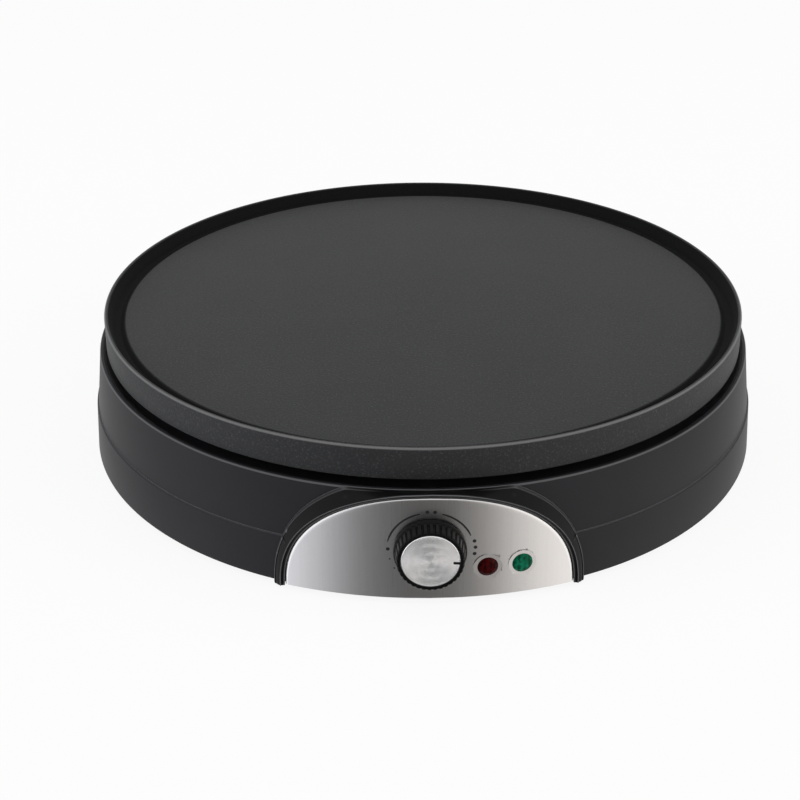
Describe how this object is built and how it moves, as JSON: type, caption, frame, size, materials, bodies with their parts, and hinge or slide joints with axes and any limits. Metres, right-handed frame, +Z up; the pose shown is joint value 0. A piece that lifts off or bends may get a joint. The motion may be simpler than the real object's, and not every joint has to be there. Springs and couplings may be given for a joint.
{
  "type": "electric crepe maker",
  "caption": "Round electric crepe maker: cast plate in a raised rim on a two-part round housing, with a steel panel, thermostat knob and lamps.",
  "frame": {"origin": "on the housing's axis at the undersides of the feet", "axes": "+Z up through the cooking plate, the control panel and knob face -Y, +X to the right seen from the front"},
  "size_m": [0.337, 0.3578, 0.0738],
  "materials": {
    "cast_plate": "matt dark non-stick coat over die-cast aluminium",
    "housing_plastic": "dark grey moulded plastic, satin",
    "bezel_plastic": "black moulded plastic, satin",
    "steel_panel": "brushed stainless sheet",
    "knob_plastic": "black moulded plastic",
    "knob_aluminium": "spun",
    "red_lens": "clear red",
    "green_lens": "clear green",
    "lamp_glass": "clear",
    "element_steel": "oxidised",
    "zinc_steel": "zinc plated",
    "bright_aluminium": "bright",
    "ceramic": "unglazed",
    "brass": "plain",
    "rubber": "matt",
    "wire_sleeve": "glass-fibre sleeve",
    "block_plastic": "natural"
  },
  "bodies": {
    "base": {"cooking_plate": "cast_plate", "heating_element": "element_steel", "element_bushings": "ceramic", "element_terminals": "zinc_steel", "element_clamps": "zinc_steel", "clamp_screws": "zinc_steel", "thermal_fuse": "wire_sleeve", "fuse_clip": "zinc_steel", "fuse_screw": "zinc_steel", "heat_reflector": "bright_aluminium", "plate_screws": "zinc_steel", "upper_housing": "housing_plastic", "lower_housing": "housing_plastic", "base_cover": "zinc_steel", "base_screws": "zinc_steel", "rubber_feet": "rubber", "fascia_panel": "steel_panel", "front_bezel": "bezel_plastic", "red_lens": "red_lens", "green_lens": "green_lens", "neon_lamps": "lamp_glass", "lamp_sockets": "block_plastic", "thermostat_bracket": "zinc_steel", "thermostat_bush": "brass", "bush_nut": "brass", "stack_insulators": "ceramic", "contact_blades": "brass", "bimetal_strip": "zinc_steel", "stack_bolt": "zinc_steel", "cord_gland": "rubber", "terminal_block": "block_plastic", "terminal_screws": "brass", "earth_lug": "brass", "wire_live": "wire_sleeve", "wire_neutral": "wire_sleeve", "wire_element": "wire_sleeve"},
    "knob": {"knob_shell": "knob_plastic", "knob_insert": "knob_aluminium", "knob_clip": "zinc_steel", "thermostat_spindle": "zinc_steel"}
  },
  "joints": [
    {"name": "knob_turn", "type": "hinge", "parent": "base", "child": "knob", "pos_m": [0, -0.1695, 0.028], "axis": [0, -1, 0], "range_deg": [0, 215]}
  ]
}
